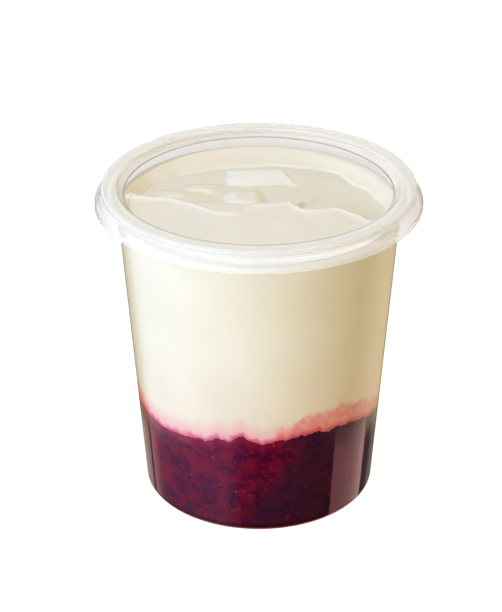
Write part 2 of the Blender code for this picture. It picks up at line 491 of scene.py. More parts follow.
# %% Spoonfuls and tongue
SPOONFUL_HEIGHT = 2.3 * MM
SPOONFUL_EDGE = 1.1 * MM  # run of a spoonful's edge
LIP, LEFT_LIP = 0.12, 0.10  # the edge's raised lip as a share of the height, and more at the left
LEFT_END, LEFT_FADE = -24, 6  # where the left part starts, in mm
LIP_PLACE, LIP_WIDTH = 1.2 * SPOONFUL_EDGE, 1.4 * MM
SOFT_SWELL, SOFT_LENGTH, SOFT_LEVEL, SOFT_RUN = 0.06, 9 * MM, 3 * MM, 5 * MM
FRONT_FALL = 0.008  # how much the spoonfuls sink towards the front, for each mm
TONGUE_SHARE, TONGUE_EDGE, TONGUE_TIP = 0.9, 1.2, 18.4


def spoonfuls_at_front(x, y):
    """Rise of the two spoonfuls at the front, which share one outline."""
    edge = max(read_curve(LEFT_SPOONFUL, x / MM), read_curve(RIGHT_SPOONFUL, x / MM))
    before = edge * MM - y
    rise = smooth_step(before / SPOONFUL_EDGE)
    lip = LIP + LEFT_LIP * smooth_step((LEFT_END - x / MM) / LEFT_FADE)
    lip *= math.exp(-(((before - LIP_PLACE) / LIP_WIDTH) ** 2)) * (before > 0)
    soft = SOFT_SWELL * noise_at(x, y, SOFT_LENGTH, SOFT_LEVEL) * smooth_step(before / SOFT_RUN)
    return SPOONFUL_HEIGHT * (rise + lip + soft + FRONT_FALL * min(y, 0) / MM * rise)


def tongue(x, y):
    """Rise of the tongue, which lies between its two edges."""
    inside = min(read_curve(TONGUE_BACK, x / MM) - y / MM, y / MM - read_curve(TONGUE_FRONT, x / MM))
    return TONGUE_SHARE * SPOONFUL_HEIGHT * smooth_step(inside / TONGUE_EDGE) * (x / MM < TONGUE_TIP)


# %% The cut and the lumps
# The smooth cut behind the lumps: its sides in mm, how much the right one leans, and its slope.
CUT_LEFT, CUT_RIGHT, CUT_FRONT, CUT_BACK = -10.8, 12.6, 18.8, 31.8
CUT_LEAN = 0.3
CUT_SLOPE = 0.07
CUT_EDGE, CUT_COLOUR_EDGE = 1.8, 0.6  # mm over which its form and its painted reflection begin
LUMP_CORNERS = 4  # 2 would make lumps oval, and more makes them squarer
LUMP_EDGE = 0.62  # share of a lump's half width that its edge takes up


def inside_cut(x, y, edge):
    """1 inside the smooth cut's outline and 0 outside it, with an edge of so many mm."""
    across = min(x / MM - CUT_LEFT, CUT_RIGHT - CUT_LEAN * (y / MM - CUT_FRONT) - x / MM)
    deep = min(y / MM - CUT_FRONT, CUT_BACK - y / MM)
    return smooth_step(across / edge) * smooth_step(deep / edge)


def cut(x, y):
    """Rise of a smooth cut at the back of the basin, tilted forward so that it catches the light."""
    return CUT_SLOPE * max(y - CUT_FRONT * MM, 0) * inside_cut(x, y, CUT_EDGE)


def lump(middle_x, middle_y, half_x, half_y, tall, x, y):
    """Rise of a low lump with rounded corners."""
    across = ((x / MM - middle_x) / half_x) ** LUMP_CORNERS
    deep = ((y / MM - middle_y) / half_y) ** LUMP_CORNERS
    out = (across + deep) ** (1 / LUMP_CORNERS)
    return tall * MM * smooth_step((1 - out) / LUMP_EDGE)


def relief(x, y):
    """Height of the spoonfuls and lumps over the custard's basin."""
    soft_place = bend_place(x, y, SOFT_BEND)
    x, y = bend_place(x, y)
    rise = max(spoonfuls_at_front(x, y), tongue(x, y), 0)
    return max([rise, cut(*soft_place)] + [lump(*numbers, *soft_place) for numbers in LUMPS])


print("spoonful in front of the middle:", round(relief(0, -10 * MM) / MM, 2), "mm high")


# %% [markdown]
# ## The compote
# The compote fills the cup's foot. Its profile follows the inside of the floor and the wall, and
# reaches a tenth of a millimetre into the plastic. The top is turned flat, and then each vertex
# of it is set to the layer line's height and pressed back against the leaning wall.

# %% Turn the compote
FLOOR = SHEET - INTO_WALL
STILL_FOOT = 4 * MM  # nothing is moved below this height
NEAR_WALL = 0.97  # share of the radius past which a vertex belongs to the wall's side
OVERLAP = 0.05 * MM  # each filling passes the layer line by this much, so they leave no gap
COMPOTE_STEP = 0.7 * MM


def press_to_wall(piece):
    """Moves the outermost vertices out or in on to the inside of the wall."""
    for corner in piece.data.vertices:
        reach = math.hypot(corner.co.x, corner.co.y)
        if corner.co.z > STILL_FOOT and reach > NEAR_WALL * filling_radius(corner.co.z):
            share = filling_radius(corner.co.z) / reach
            corner.co.x *= share
            corner.co.y *= share


def compote_profile():
    panel = FLOOR + PANEL_RAISED
    corner = wall_middle(SHEET / 2 + CORNER_RADIUS) - CORNER_RADIUS
    bend = CORNER_RADIUS - SHEET / 2 + INTO_WALL
    ring_inside = corner - STANDING_RING
    profile = [(0, panel), (ring_inside - RAMP_RUN, panel), (ring_inside, FLOOR)]
    profile += arc((corner, FLOOR + bend), bend, -90, 0)
    return profile + [(filling_radius(LAYER_LEVEL), LAYER_LEVEL), (0, LAYER_LEVEL)]


def follow_line(piece, fixed_level, shift):
    """Raises a filling's face to the layer line, and the side above or below it in proportion."""
    for corner in piece.data.vertices:
        share = (corner.co.z - fixed_level) / (LAYER_LEVEL - fixed_level)
        if share > 0:
            rise = layer_height(corner.co.x, corner.co.y) - LAYER_LEVEL + shift
            corner.co.z += rise * min(share, 1)


compote = lathe("compote", split(compote_profile(), COMPOTE_STEP))
follow_line(compote, STILL_FOOT, OVERLAP)
press_to_wall(compote)
smooth(compote)
print("compote:", len(compote.data.polygons), "faces")

# %% [markdown]
# ## The custard
# The custard starts as a turned block whose foot lies on the layer line. Its top is shaped with
# Displace: a vertex group says how far each vertex follows, first down into the basin and then up
# into the dollops, as one would paint weights by hand.

# %% The custard's profile and weights
CUSTARD_FOOT_STEP = 3 * MM
SIDE_STEP = 0.9 * MM
TOP_STEP = 0.36 * MM
CUSTARD_SIDES = 360
SAME_LEVEL = 0.001 * MM
BASIN_DEPTH = 3.8 * MM
BORDER_DROP = 0.5 * MM  # the step at the border's foot
STEP_END = 0.09  # share of the border's slope that the step takes up
SLOPE_CURVE = 1.5  # 1 would be a straight slope
WALL_FADE = 3.5 * MM  # the spoonfuls run out towards the wall over this width
TALLEST = 1.3 * SPOONFUL_HEIGHT  # more than any spoonful rises, as a weight can't pass 1


def custard_profile():
    foot = split([(0, LAYER_LEVEL), (filling_radius(LAYER_LEVEL), LAYER_LEVEL)], CUSTARD_FOOT_STEP)
    side = split([foot[-1], (filling_radius(FILL_LEVEL), FILL_LEVEL)], SIDE_STEP)
    top = split([side[-1], (0, FILL_LEVEL)], TOP_STEP)
    return foot + side[1:] + top[1:]


def weigh(piece, name, weight_at):
    """A vertex group on the custard's top, weighed by a function of x and y."""
    group = piece.vertex_groups.new(name=name)
    for corner in piece.data.vertices:
        if abs(corner.co.z - FILL_LEVEL) < SAME_LEVEL:
            weight = weight_at(corner.co.x, corner.co.y)
            if weight > 0:
                group.add([corner.index], weight, "REPLACE")
    return group.name


def lift(piece, group, height, texture=None):
    """A Displace modifier that moves a group's vertices along Z."""
    modifier = piece.modifiers.new(group, "DISPLACE")
    modifier.direction = "Z"
    modifier.mid_level = 0.5 if texture else 0
    modifier.strength = height
    modifier.vertex_group = group
    modifier.texture = texture


def basin_weight(x, y):
    """0 at the wall and 1 in the basin, with a small step at the foot of the border's slope."""
    share = border_share(x, y)
    if share == 0:
        return 1
    step = BORDER_DROP / BASIN_DEPTH
    return (1 - step * smooth_step(share / STEP_END)) * (1 - share**SLOPE_CURVE)


def spoonful_weight(x, y):
    wall = (filling_radius(FILL_LEVEL) - math.hypot(x, y)) / WALL_FADE
    return relief(x, y) * smooth_step(wall) / TALLEST


print("custard profile:", len(custard_profile()), "points")

# %% Turn the custard
RIPPLE_LENGTH, RIPPLE_HEIGHT = 13 * MM, 0.02 * MM
MIDDLE_REACH = 34 * MM  # the part of the top that is measured below

custard = lathe("custard_body", custard_profile(), CUSTARD_SIDES)
follow_line(custard, FILL_LEVEL, -OVERLAP)
ripples = bpy.data.textures.new("spoon_ripples", "CLOUDS")
ripples.noise_scale = RIPPLE_LENGTH
ripples.noise_depth = 0
basin = weigh(custard, "basin", basin_weight)
spoonfuls = weigh(custard, "spoonfuls", spoonful_weight)
lift(custard, basin, -BASIN_DEPTH)
lift(custard, spoonfuls, TALLEST)
lift(custard, basin, RIPPLE_HEIGHT, ripples)
apply_modifiers(custard)
press_to_wall(custard)
smooth(custard)
heights = [v.co.z for v in custard.data.vertices if math.hypot(v.co.x, v.co.y) < MIDDLE_REACH]
print("custard:", len(custard.data.polygons), "faces, middle up to", round(max(heights) / MM, 2), "mm")

# %% [markdown]
# ## Clear plastic
# Clear plastic bends light at both of its faces and is a little wavy. A Principled BSDF with full
# Transmission does that. Light from a lamp can't find its way through a bent path, so for shadow
# and diffuse rays the sheet is swapped for a Transparent BSDF, and the food behind it stays lit.
# The lid's ring and skirt are hazy: they let a little less light through, and a faint painted glow,
# an emission that changes from front to sides, stands in for the light that their haze scatters.

# %% Clear plastic material
WAVE_SCALE, LINE_SCALE = 90, 900  # slow waves, and fine lines that run up the wall
LINE_STRETCH = (1, 1, 0.08)
MARK_DEPTH = 0.1 * MM
PLASTIC_IOR = 1.49
SHADOW_TINT = (0.97, 0.97, 0.97, 1)  # what the sheet lets through for lamps
WARM_EDGE = (1, 0.96, 0.80)  # colour of a long path through the sheet
GLOW_FRONT, GLOW_SIDE = 0.75, 1.35  # radians from the front between which the painted glow changes


def marks_group():
    """Slow waves and fine lines of formed plastic: a normal, and a patchy share."""
    group = bpy.data.node_groups.new("formed_plastic_marks", "ShaderNodeTree")
    for name, side, kind in (
        ("Wave", "INPUT", "NodeSocketFloat"),
        ("Line", "INPUT", "NodeSocketFloat"),
        ("Normal", "OUTPUT", "NodeSocketVector"),
        ("Patch", "OUTPUT", "NodeSocketFloat"),
    ):
        group.interface.new_socket(name=name, in_out=side, socket_type=kind)
    given = group.nodes.new("NodeGroupInput").outputs
    place = object_place(group)
    slow = clouds(group, place, WAVE_SCALE, 2)
    stretched = add(group, "Mapping", {"Vector": place, "Scale": LINE_STRETCH}).outputs[0]
    waves = times(group, slow, given["Wave"])
    streaks = times(group, clouds(group, stretched, LINE_SCALE, 3), given["Line"])
    height = sum_up(group, "ADD", waves, streaks)
    bump = add(group, "Bump", {"Height": height, "Strength": 1.0, "Distance": MARK_DEPTH})
    result = group.nodes.new("NodeGroupOutput")
    fill(group, result, {"Normal": bump.outputs["Normal"], "Patch": slow})
    return group


plastic_marks = marks_group()


def clear_plastic(name, tint, roughness, transmission, marks=None, glow=None, painted_glow_colour=None):
    """Clear or hazy plastic. Marks are its waves and lines. Glow is painted light: an emission at
    front and sides that stands in for the light that the haze scatters.

    Seen edge-on, the light's path through marked plastic is long, so its tint goes warm there.
    """
    material, tree, shader = new_material(name)
    fill(tree, shader, {"Base Color": (*tint, 1), "Roughness": roughness, "IOR": PLASTIC_IOR})
    fill(tree, shader, {"Transmission Weight": transmission})
    if marks:
        drawn = add(tree, "Group", {"Wave": marks[0], "Line": marks[1]}, node_tree=plastic_marks)
        worn = ramp(tree, drawn.outputs["Patch"], 0.3, 0.8, roughness * 0.7, roughness * 1.4)
        facing = add(tree, "LayerWeight", {"Blend": 0.5}).outputs["Facing"]
        warm = tuple(part * share for part, share in zip(tint, WARM_EDGE))
        edge_tint = blend(tree, ramp(tree, facing, 0.58, 0.80), tint, warm)
        fill(tree, shader, {"Normal": drawn.outputs["Normal"], "Roughness": worn, "Base Color": edge_tint})
    # Painted light: an emission that changes from front to sides stands in for light scattered in the hazy
    # plastic.
    if glow:
        turn = turn_round(tree, parts(tree, object_place(tree)))
        painted_glow_share = ramp(tree, sum_up(tree, "ABSOLUTE", turn), GLOW_FRONT, GLOW_SIDE, *glow)
        glowing = blend(tree, painted_glow_share, (0.0, 0.0, 0.0), painted_glow_colour)
        fill(tree, shader, {"Emission Color": glowing, "Emission Strength": 1.0})
    path = add(tree, "LightPath").outputs
    lamp = sum_up(tree, "MAXIMUM", path["Is Shadow Ray"], path["Is Diffuse Ray"])
    through = add(tree, "BsdfTransparent", {"Color": SHADOW_TINT}).outputs[0]
    both = add(tree, "MixShader", {0: lamp, 1: shader.outputs[0], 2: through})
    fill(tree, tree.nodes["Material Output"], {"Surface": both.outputs[0]})
    return material


print("marks on plastic:", len(plastic_marks.nodes), "nodes")

# %% Plastic of the cup and of the lid's parts
# Each value is the tint, the roughness and the share of light that goes through. Then come the
# marks, and for hazy plastic the painted glow at front and sides and its colour.
cup_plastic = clear_plastic("clear_cup_plastic", (0.97, 0.975, 0.97), 0.05, 1.0, (0.25, 0.05))
panel = clear_plastic("clear_lid_plastic", (0.97, 0.97, 0.965), 0.03, 1.0, (0.25, 0.0))
ring = clear_plastic(
    "milky_lid_plastic", (0.855, 0.85, 0.815), 0.22, 0.76, glow=(0.084, 0.088), painted_glow_colour=(0.93, 0.97, 1.0)
)
skirt = clear_plastic(
    "hazy_lid_plastic", (0.90, 0.885, 0.86), 0.10, 0.88, glow=(0.125, 0.02), painted_glow_colour=(0.66, 0.82, 1.0)
)
# Painted shade: the bend from the panel into the plug wall is made grey, standing in for the dark line that
# refraction at that fold draws.
bend = clear_plastic("lid_bend_painted_shade", (0.42, 0.41, 0.39), 0.10, 0.9)
plug = clear_plastic("lid_plug_plastic", (0.965, 0.942, 0.90), 0.12, 0.89)
PANEL_EDGE = (-0.3 * MM, 0.15 * MM)  # the bend's painted shade starts and ends here, from the panel's radius


def lid_part(face):
    """The plastic of the part of the lid that a face lies in."""
    reach = math.hypot(face.center.x, face.center.y)
    if reach < PANEL_RADIUS + PANEL_EDGE[0]:
        return panel
    if reach < PANEL_RADIUS + PANEL_EDGE[1]:
        return bend
    if reach < PANEL_RADIUS + PLUG_RUN:
        return plug
    return ring if face.center.z > LID_TOP - RING_DROP - SHEET else skirt


cup.data.materials.append(cup_plastic)
lid_plastics = [panel, ring, skirt, bend, plug]
for plastic in lid_plastics:
    lid.data.materials.append(plastic)
for face in lid.data.polygons:
    face.material_index = lid_plastics.index(lid_part(face))
print("lid faces of clear panel:", sum(face.material_index == 0 for face in lid.data.polygons))

# %% [markdown]
# ## Custard's colour
# Thick custard is cream-coloured and soft-looking, because light goes a few millimetres in before
# it comes out: that is Subsurface. Juice has risen into it from the compote, as a fine dark pink
# line, a soft halo, and at one side a broad salmon band with a ragged edge. An image could be
# painted for that, but it would have to be redrawn for each change of shape. Here each vertex
# stores how high it lies above the layer line, and the colours follow from that number and noise.

# %% What the custard's vertices store
# How far a band of juice has risen into the custard: angle from the front in degrees, height in mm.
STAIN = [
    (-180, 3), (-100, 5), (-72, 5.5), (-60, 1.5), (-48, -4), (-8, -4),
    (2, -0.5), (12, 3.2), (20, 5.8), (28, 6.8), (36, 8.2), (44, 7.6),
    (53, 6.4), (64, 5.0), (80, 5.5), (110, 4), (140, 6), (180, 3),
]
FREE_DEPTH = 0.5 * MM  # a vertex this far in from the wall is open to the air
BASIN_RISE = 1.6 * MM  # relief higher than this has none of the basin's painted shade
BASIN_SHADE_FADE, BORDER_FADE = 0.07, 0.15  # shares of the border's slope


def layer_marks(x, y, z):
    """What the custard's colour needs at a vertex.

    above_line is the height above the layer line and stain_reach how far juice has risen there,
    both in millimetres. open_top is 1 on the free surface and 0 where the custard touches plastic.
    basin_painted_shade is 1 in the basin, cut_painted_reflection on the smooth cut at its back, and border
    on the slope;
    they carry painted shade in the basin, a painted reflection on the cut and painted shade on the slope.
    """
    low = 1 - smooth_step(relief(x, y) / BASIN_RISE)
    share = border_share(x, y)
    return {
        "above_line": (z - layer_height(x, y)) / MM,
        "stain_reach": read_curve(STAIN, math.degrees(math.atan2(x, -y))),
        "open_top": smooth_step((filling_radius(z) - math.hypot(x, y)) / FREE_DEPTH),
        "basin_painted_shade": low * smooth_step(1 - share / BASIN_SHADE_FADE),
        "cut_painted_reflection": inside_cut(*bend_place(x, y, SOFT_BEND), CUT_COLOUR_EDGE),
        "border": low * smooth_step(share / BORDER_FADE),
    }


for name in layer_marks(*custard.data.vertices[0].co):
    custard.data.attributes.new(name, "FLOAT", "POINT")
for corner in custard.data.vertices:
    for name, value in layer_marks(*corner.co).items():
        custard.data.attributes[name].data[corner.index].value = value
print("custard stores:", [a.name for a in custard.data.attributes if a.data_type == "FLOAT"])

# %% Custard material
CREAM_DARK, CREAM_LIGHT = (0.85, 0.79, 0.62), (0.88, 0.82, 0.66)
# The juice's tints multiply the cream, and the four creams below them take its place. The
# basin's and the border's creams are painted shade, and the cut's is a painted reflection.
JUICE_PALE, JUICE_DEEP = (1.0, 0.62, 0.66), (0.97, 0.47, 0.53)
HALO_LEFT, HALO_RIGHT = (1.0, 0.55, 0.74), (1.0, 0.60, 0.62)
BLUSH = (1.0, 0.95, 0.955)
JUICE_LINE = (0.86, 0.33, 0.53)
TOP_CREAM = (0.96, 0.895, 0.77)
BASIN_SHADED_CREAM = (0.88, 0.845, 0.67)
BORDER_SHADED_CREAM = (0.93, 0.85, 0.69)
CUT_REFLECTION_CREAM = (0.975, 0.945, 0.855)


def turn_from_front(tree, place):
    """Angle from the front in radians, more to the right. It comes back to 0 behind, with no seam."""
    turn = turn_round(tree, parts(tree, place))
    right_part = sum_up(tree, "MINIMUM", turn, sum_up(tree, "MULTIPLY_ADD", turn, -0.5, math.pi / 2))
    return sum_up(tree, "MAXIMUM", right_part, sum_up(tree, "MULTIPLY_ADD", turn, -0.5, -math.pi / 2))


def juice_in_custard(tree, place, colour):
    """Tints the custard where juice has risen: band, halo, blush and line."""
    above = stored(tree, "above_line")
    turn = turn_from_front(tree, place)
    fine = clouds(tree, place, 420, 4)
    drift = clouds(tree, place, 150, 4, 0.8)
    past_band = shake(tree, sum_up(tree, "SUBTRACT", above, stored(tree, "stain_reach")), drift, 9.0)
    juice = blend(tree, ramp(tree, fine, 0.40, 0.60), JUICE_PALE, JUICE_DEEP)
    colour = blend(tree, ramp(tree, past_band, 2.2, -1.7), colour, juice, "MULTIPLY")
    halo = ramp(tree, shake(tree, above, drift, 3.0), 7.2, 0.4, kind="LINEAR")
    halo = times(tree, halo, ramp(tree, turn, 0.1, 0.7, 1.0, 0.6))
    halo_tint = blend(tree, ramp(tree, turn, 0.0, 0.5), HALO_LEFT, HALO_RIGHT)
    colour = blend(tree, halo, colour, halo_tint, "MULTIPLY")
    colour = blend(tree, ramp(tree, above, 30.0, 5.0), colour, BLUSH, "MULTIPLY")
    line = ramp(tree, shake(tree, above, fine, 5.0), 2.2, 0.1)
    return blend(tree, line, colour, JUICE_LINE, "MULTIPLY")


def custard_material():
    material, tree, shader = new_material("custard_cream")
    place = object_place(tree)
    colour = blend(tree, ramp(tree, clouds(tree, place, 60, 3), 0.3, 0.7), CREAM_DARK, CREAM_LIGHT)
    colour = juice_in_custard(tree, place, colour)
    open_top = stored(tree, "open_top")
    colour = blend(tree, open_top, colour, TOP_CREAM)
    # Painted shade: the basin and the border's slope take darker creams than the rest of the top.
    for name, cream in (("basin_painted_shade", BASIN_SHADED_CREAM), ("border", BORDER_SHADED_CREAM)):
        colour = blend(tree, times(tree, stored(tree, name), open_top), colour, cream)
    # Painted reflection: the smooth cut takes a lighter cream that stands in for a window mirrored in it.
    colour = blend(tree, stored(tree, "cut_painted_reflection"), colour, CUT_REFLECTION_CREAM)
    fill(tree, shader, {"Base Color": colour, "Roughness": 0.6, "Specular IOR Level": 0.0})
    fill(tree, shader, {"Subsurface Weight": 0.35, "Subsurface Radius": (1.0, 0.75, 0.4)})
    fill(tree, shader, {"Subsurface Scale": 3 * MM})
    fill(tree, shader, {"Coat Weight": open_top, "Coat Roughness": 0.03})
    return material


custard.data.materials.append(custard_material())
print("custard material nodes:", len(custard.data.materials[0].node_tree.nodes))


# %% [markdown]
# ## Compote's colour
# Cooked berries are a dark red pulp with purple shade, brighter where a thin layer lies against
# the wall and lighter just under the custard. Two sizes of noise mix the pulp, a third one that is
# drawn out downwards gives veins, and a Voronoi pattern leaves a few bright seeds. A dark side and
# A dark side, painted shade on the side away from the lamps, comes from the angle round the pot,
# and a dark foot from the height.

# %% Compote material
# A pair of colours is for the front's right and left; the left one is lighter, as painted light on
# the side that the lamps reach.
BRIGHT_PULP = (0.140, 0.003, 0.018), (0.165, 0.009, 0.037)
DEEP_PULP = (0.055, 0.002, 0.020), (0.072, 0.008, 0.040)
FRESH_PULP = (0.26, 0.008, 0.035), (0.33, 0.03, 0.075)
FINE_PULP = (0.23, 0.007, 0.036)
VEIN = (0.045, 0.006, 0.025)
SEED = (0.50, 0.02, 0.06)
# painted shade for the side away from the lamps
SHADED_SIDE = (0.022, 0.009, 0.025)
DARK_BELOW = (0.025, 0.006, 0.016)
FOOT = (0.02, 0.002, 0.004)
# Painted light: a bright red line at the very bottom, where light comes through the base corner.
LIT_SOLE = (0.42, 0.05, 0.035)
VEIN_STRETCH = (1, 1, 0.4)


def seeds_in_pulp(tree, place):
    """Up to 0.8 on small spots: the middles of some of a Voronoi pattern's cells."""
    cells = add(tree, "TexVoronoi", {"Vector": place, "Scale": 430})
    chosen = add(tree, "SeparateColor", {"Color": cells.outputs["Color"]}).outputs["Red"]
    middle = ramp(tree, cells.outputs["Distance"], 0.22, 0.12)
    return times(tree, middle, ramp(tree, chosen, 0.80, 0.86, 0.0, 0.8))


def compote_material():
    material, tree, shader = new_material("berry_compote")
    place = object_place(tree)
    height = parts(tree, place)["Z"]
    turn = turn_from_front(tree, place)
    # Painted light: leftward picks the lighter left-hand colour of each pair, for the side the lamps light.
    leftward = ramp(tree, turn, 0.0, -0.35)
    patch = clouds(tree, place, 190, 3, 0.5)
    drawn_down = add(tree, "Mapping", {"Vector": place, "Scale": VEIN_STRETCH}).outputs[0]
    deep = blend(tree, leftward, *DEEP_PULP)
    pulp = blend(tree, ramp(tree, patch, 0.40, 0.60), deep, blend(tree, leftward, *BRIGHT_PULP))
    pulp = blend(tree, ramp(tree, clouds(tree, place, 650, 4), 0.48, 0.70, 0.0, 0.6), pulp, FINE_PULP)
    pulp = blend(tree, ramp(tree, clouds(tree, drawn_down, 330, 3), 0.44, 0.30, 0.0, 0.55), pulp, VEIN)
    below = shake(tree, stored(tree, "below_line"), patch, 13.0)
    fresh = ramp(tree, below, 3.4, 0.0, 0.0, 0.65)
    fresh = times(tree, fresh, ramp(tree, turn, 0.30, -0.10, 0.2, 1.0))
    pulp = blend(tree, fresh, pulp, blend(tree, leftward, *FRESH_PULP))
    pulp = blend(tree, seeds_in_pulp(tree, place), pulp, SEED)
    # Painted shade: the side away from the lamps turns dark, and lower down more of it does.
    side = sum_up(tree, "MULTIPLY_ADD", patch, 0.35, sum_up(tree, "SUBTRACT", turn, 0.175))
    lowness = ramp(tree, height, 27 * MM, 10 * MM, kind="LINEAR")
    side = sum_up(tree, "MULTIPLY_ADD", lowness, 0.33, side)
    pulp = blend(tree, ramp(tree, side, 0.15, 0.42, 0.0, 0.72), pulp, SHADED_SIDE)
    pulp = blend(tree, ramp(tree, height, 22 * MM, 6 * MM, 0.0, 0.3), pulp, DARK_BELOW)
    pulp = blend(tree, ramp(tree, height, 2.6 * MM, 1.6 * MM, 0.0, 0.75), pulp, FOOT)
    # Painted light along the compote's bottom edge.
    pulp = blend(tree, ramp(tree, height, 1.15 * MM, 0.75 * MM), pulp, LIT_SOLE)
    fill(tree, shader, {"Base Color": pulp, "Roughness": 0.5, "Specular IOR Level": 0.0})
    fill(tree, shader, {"Subsurface Weight": 0.1, "Subsurface Radius": (1.0, 0.15, 0.2)})
    fill(tree, shader, {"Subsurface Scale": 1.0 * MM})
    return material


compote.data.attributes.new("below_line", "FLOAT", "POINT")
for corner in compote.data.vertices:
    depth = layer_height(corner.co.x, corner.co.y) - corner.co.z
    compote.data.attributes["below_line"].data[corner.index].value = depth / MM
compote.data.materials.append(compote_material())
print("compote material nodes:", len(compote.data.materials[0].node_tree.nodes))

# %% [markdown]
# ## Fruit in the compote
# Whole bits of berry and their pips press against the wall and show through it. A berry's bits are
# round drupelets in small clusters. Each kind is one mesh of many flattened balls, placed with a
# seeded draw on the inside of the wall, so that each shows as a soft-edged disc.

# %% A stud of many flattened balls
BALL_DETAIL = 2  # 80 faces for each ball
FLATNESS = 0.30  # a ball's depth as a share of its width


def stud_wall(name, spots):
    """One mesh of flattened balls. A spot is (angle from front, height, across, tall, turn, out)."""
    clear_selection()
    bpy.ops.mesh.primitive_ico_sphere_add(subdivisions=BALL_DETAIL, radius=1)
    ball = bpy.context.object
    corners = [corner.co.copy() for corner in ball.data.vertices]
    faces = [tuple(face.vertices) for face in ball.data.polygons]
    bpy.data.objects.remove(ball)
    points, joined = [], []
    for angle, height, across, tall, turn, out in spots:
        first = len(points)
        a = math.radians(angle)
        outward = Vector((math.sin(a), -math.cos(a), 0))
        sideways = Vector((math.cos(a), math.sin(a), 0))
        reach = filling_radius(height) + out - FLATNESS * across
        middle = outward * reach + Vector((0, 0, height))
        for co in corners:
            wide = across * co.x * math.cos(turn) - tall * co.z * math.sin(turn)
            high = across * co.x * math.sin(turn) + tall * co.z * math.cos(turn)
            lean = Vector((0, 0, high)) + outward * high * WALL_TAPER
            points.append(middle + sideways * wide + lean + outward * co.y * FLATNESS * across)
        joined += [tuple(first + i for i in face) for face in faces]
    mesh = bpy.data.meshes.new(name)
    mesh.from_pydata(points, [], joined)
    piece = add_object(name, mesh)
    smooth(piece, 180)
    print(len(spots), name, "of", len(mesh.polygons), "faces in all")
    return piece


# %% Drupelets
# Clusters at the front, as (angle from the front, height in mm), and more at the sides and back.
FRONT_CLUSTERS = [
    (-34, 25.8), (-34, 22.0), (-47, 16.0), (-60, 15.2), (-7.7, 24.0),
    (-9.3, 30.6), (-11.6, 7.3), (-26.5, 10.3), (-17, 23.3), (24, 23.2),
    (14, 5.6), (-49, 10), (-35, 14.2), (-38.5, 7.0), (-6.3, 14.8),
]
MORE_CLUSTERS, MORE_ANGLES, MORE_HEIGHTS = 60, (35, 295), (6, 28)
ANGLE_SPREAD, HEIGHT_SPREAD = 1.3, 0.9  # in degrees and mm, of the drupelets in a cluster

draw = random.Random(7)
clusters = FRONT_CLUSTERS + [
    (draw.uniform(*MORE_ANGLES), draw.uniform(*MORE_HEIGHTS)) for _ in range(MORE_CLUSTERS)
]
drupelet_spots = []
for angle, height in clusters:
    for _ in range(draw.randint(1, 3)):
        size = draw.uniform(0.65, 1.15) * MM
        a = angle + draw.gauss(0, ANGLE_SPREAD)
        h = (height + draw.gauss(0, HEIGHT_SPREAD)) * MM
        tall = size * draw.uniform(0.85, 1.1)
        drupelet_spots.append((a, h, size, tall, 0, draw.uniform(0.06, 0.14) * MM))
drupelets = stud_wall("drupelets", drupelet_spots)

# %% Pips
PIP_COUNT, PIP_OUT = 360, 0.05 * MM

pip_spots = []
for _ in range(PIP_COUNT):
    size = draw.uniform(0.20, 0.48) * MM
    height = draw.uniform(3.5, 32) * MM
    angle = draw.uniform(-180, 180)
    pip_spots.append((angle, height, size, size * draw.uniform(0.5, 1.0), draw.uniform(0, 3), PIP_OUT))
pips = stud_wall("pips", pip_spots)


# %% Fruit materials
SHADED_FRUIT = (0.03, 0.006, 0.013)  # towards the pot's dark side


def fruit_material(name, flesh, ripe, spread):
    material, tree, shader = new_material(name)
    place = object_place(tree)
    skin = blend(tree, ramp(tree, clouds(tree, place, spread, 2), 0.38, 0.62), flesh, ripe)
    shade = ramp(tree, turn_from_front(tree, place), 0.20, 0.42, 0.0, 0.7)
    skin = blend(tree, shade, skin, SHADED_FRUIT)
    fill(tree, shader, {"Base Color": skin, "Roughness": 0.4, "Specular IOR Level": 0.0})
    return material


drupelets.data.materials.append(
    fruit_material("drupelet_skin", (0.21, 0.009, 0.030), (0.13, 0.006, 0.024), 160)
)
pips.data.materials.append(fruit_material("pip_skin", (0.27, 0.012, 0.040), (0.13, 0.006, 0.030), 320))
print("fruit materials:", drupelets.data.materials[0].name, pips.data.materials[0].name)

# %% [markdown]
# ## Into the frame
# Each piece is listed with the solid that it takes the place of and a slot of colour, which nothing
# here reads. The fruit belongs to the compote. Each piece is hung on the root body and its solid is
# hidden. Nothing moves here: every piece was modelled where it belongs.

# %% Place the pieces in the frame
for piece, node, slot in (
    (cup, "cup", "clear_cup"),
    (lid, "lid", "clear_lid"),
    (compote, "berry_layer", "berry_compote"),
    (drupelets, "berry_layer", "berry_compote"),
    (pips, "berry_layer", "berry_compote"),
    (custard, "custard", "custard_cream"),
):
    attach(piece, "root")
    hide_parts(node)
    print(piece.name, "takes the place of", node)

# %% [markdown]
# ## Camera
# The pot is looked down on from about 28 degrees, through a long lens that keeps its sides nearly
# straight. The view is a little off the middle, which `shift_x` gives without turning the camera.

# %% Camera
CAMERA_BACK = 537.5 * MM
CAMERA_HEIGHT = 344.1 * MM
CAMERA_PITCH = 27.81
LENS = 112.66
SENSOR = 36
SHIFT_X = -0.01307

camera_data = bpy.data.cameras.new("camera")
camera_data.sensor_fit = "VERTICAL"
camera_data.sensor_height = SENSOR
camera_data.lens = LENS
camera_data.shift_x = SHIFT_X
camera = add_object("camera", camera_data)
camera.location = (0, -CAMERA_BACK, CAMERA_HEIGHT)
camera.rotation_euler = (math.radians(90 - CAMERA_PITCH), 0, 0)
bpy.context.scene.camera = camera
print(f"camera {CAMERA_HEIGHT / MM:.0f} mm up and {CAMERA_BACK / MM:.0f} mm in front")

# %% [markdown]
# ## Floor
# The floor is a plain pale sheet. The plastic's underside would mirror it as a hard bright edge, so
# it is left out of reflections, and rays that come through the plastic see it a little dimmer.

